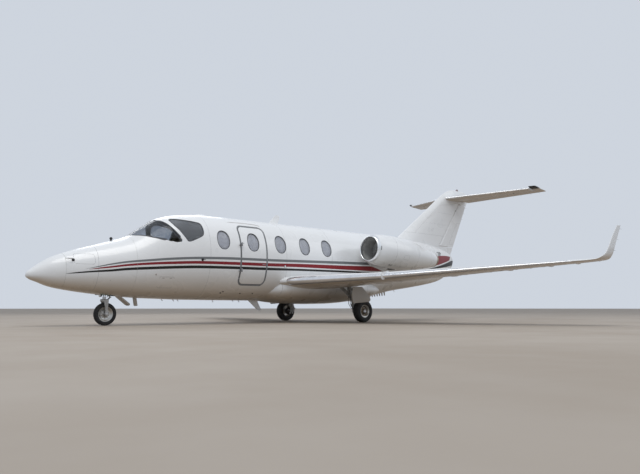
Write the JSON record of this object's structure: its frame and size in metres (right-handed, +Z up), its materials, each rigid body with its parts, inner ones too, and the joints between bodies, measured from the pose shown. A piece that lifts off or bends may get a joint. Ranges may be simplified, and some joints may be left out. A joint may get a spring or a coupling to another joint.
{
  "type": "business jet",
  "caption": "Twin-engine business jet with a low swept wing, winglets and a T-tail, on its landing gear, with a hinged cabin door, turning wheels and moving control surfaces.",
  "frame": {"origin": "on the ground, under the middle of the overall length, on the plane of symmetry", "axes": "+X towards the nose, +Y to port (the aircraft's left), +Z up"},
  "size_m": [14.75, 14.3412, 4.238],
  "materials": {
    "white_paint": "glossy white paint on riveted aluminium skin",
    "fairing_paint": "glossy white paint on composite fairings and light skins",
    "radome_paint": "satin white paint on a composite radome",
    "window_glass": "tinted stretched acrylic",
    "polished_metal": "polished aluminium",
    "fan_metal": "dull titanium fan blades",
    "engine_metal": "heat-stained steel",
    "gear_steel": "grey-painted steel with bright pistons",
    "wheel_alloy": "satin forged alloy",
    "tyre_rubber": "black ribbed rubber",
    "seat_leather": "light tan leather",
    "carpet": "short cut pile",
    "panel_plastic": "matt black instrument panel"
  },
  "bodies": {
    "airframe": {"nose_cone": "radome_paint", "nose_section": "white_paint", "cabin_shell": "white_paint", "aft_fuselage": "white_paint", "belly_fairing": "fairing_paint", "windshield_left": "window_glass", "windshield_right": "window_glass", "cockpit_window_left": "window_glass", "cockpit_window_right": "window_glass", "cabin_window_front": "window_glass", "cabin_windows_left": "window_glass", "cabin_windows_right": "window_glass", "cabin_floor": "carpet", "instrument_panel": "panel_plastic", "pilot_seat": "seat_leather", "copilot_seat": "seat_leather", "cabin_seats": "seat_leather", "wing_left": "white_paint", "wing_right": "white_paint", "fin": "fairing_paint", "tailplane": "white_paint", "nacelle_left": "fairing_paint", "nacelle_right": "fairing_paint", "intake_lip_left": "polished_metal", "intake_lip_right": "polished_metal", "engine_left": "engine_metal", "engine_right": "engine_metal", "pylon_left": "fairing_paint", "pylon_right": "fairing_paint", "main_leg_left": "gear_steel", "main_leg_right": "gear_steel", "leg_door_left": "white_paint", "leg_door_right": "white_paint", "nose_leg": "gear_steel", "nose_gear_door_front": "white_paint", "nose_gear_door_rear": "white_paint"},
    "door": {"passenger_door": "white_paint", "door_window": "window_glass"},
    "flap_left": {"flap_left": "white_paint"},
    "flap_right": {"flap_right": "white_paint"},
    "rudder": {"rudder": "fairing_paint"},
    "elevator_left": {"elevator_left": "white_paint"},
    "elevator_right": {"elevator_right": "white_paint"},
    "fan_left": {"fan_left": "fan_metal"},
    "fan_right": {"fan_right": "fan_metal"},
    "nose_fork": {"nose_fork": "gear_steel"},
    "nose_wheel": {"nose_wheel_rim": "wheel_alloy", "nose_wheel_tyre": "tyre_rubber"},
    "main_wheel_left": {"main_wheel_left_rim": "wheel_alloy", "main_wheel_left_tyre": "tyre_rubber"},
    "main_wheel_right": {"main_wheel_right_rim": "wheel_alloy", "main_wheel_right_tyre": "tyre_rubber"}
  },
  "joints": [
    {"name": "door_hinge", "type": "hinge", "parent": "airframe", "child": "door", "pos_m": [3.115, 0.872, 1.5], "axis": [0, 0, -1], "range_deg": [0, 160]},
    {"name": "flap_left_hinge", "type": "hinge", "parent": "airframe", "child": "flap_left", "pos_m": [-0.00255, 0.96, 0.93902], "axis": [0.2242, -0.9728, -0.0578], "range_deg": [0, 30]},
    {"name": "flap_right_hinge", "type": "hinge", "parent": "airframe", "child": "flap_right", "pos_m": [-0.00255, -0.96, 0.93902], "axis": [-0.2242, -0.9728, 0.0578], "range_deg": [0, 30]},
    {"name": "rudder_hinge", "type": "hinge", "parent": "airframe", "child": "rudder", "pos_m": [-5.08699, 0, 2.33], "axis": [-0.6071, 0, 0.7946], "range_deg": [-25, 25]},
    {"name": "elevator_left_hinge", "type": "hinge", "parent": "airframe", "child": "elevator_left", "pos_m": [-6.23628, 0.15, 3.90972], "axis": [-0.3669, 0.9283, 0.0602], "range_deg": [-6, 28]},
    {"name": "elevator_right_hinge", "type": "hinge", "parent": "airframe", "child": "elevator_right", "pos_m": [-6.23628, -0.15, 3.90972], "axis": [0.3669, 0.9283, -0.0602], "range_deg": [-6, 28]},
    {"name": "fan_left_spin", "type": "hinge", "parent": "airframe", "child": "fan_left", "pos_m": [-0.98394, 1.285, 1.83419], "axis": [0.9978, 0, 0.0663], "continuous": true},
    {"name": "fan_right_spin", "type": "hinge", "parent": "airframe", "child": "fan_right", "pos_m": [-0.98394, -1.285, 1.83419], "axis": [0.9978, 0, 0.0663], "continuous": true},
    {"name": "nose_steering", "type": "hinge", "parent": "airframe", "child": "nose_fork", "pos_m": [5.853, 0, 0.5], "axis": [0, 0, 1], "range_deg": [-50, 50]},
    {"name": "nose_wheel_spin", "type": "hinge", "parent": "nose_fork", "child": "nose_wheel", "pos_m": [5.824, 0, 0.2285], "axis": [0, 1, 0], "continuous": true},
    {"name": "main_wheel_left_spin", "type": "hinge", "parent": "airframe", "child": "main_wheel_left", "pos_m": [-0.036, 1.51, 0.275], "axis": [0, 1, 0], "continuous": true},
    {"name": "main_wheel_right_spin", "type": "hinge", "parent": "airframe", "child": "main_wheel_right", "pos_m": [-0.036, -1.51, 0.275], "axis": [0, 1, 0], "continuous": true}
  ],
  "couplings": [
    {"joint": "flap_right_hinge", "follows": "flap_left_hinge", "ratio": 1},
    {"joint": "elevator_right_hinge", "follows": "elevator_left_hinge", "ratio": 1}
  ]
}
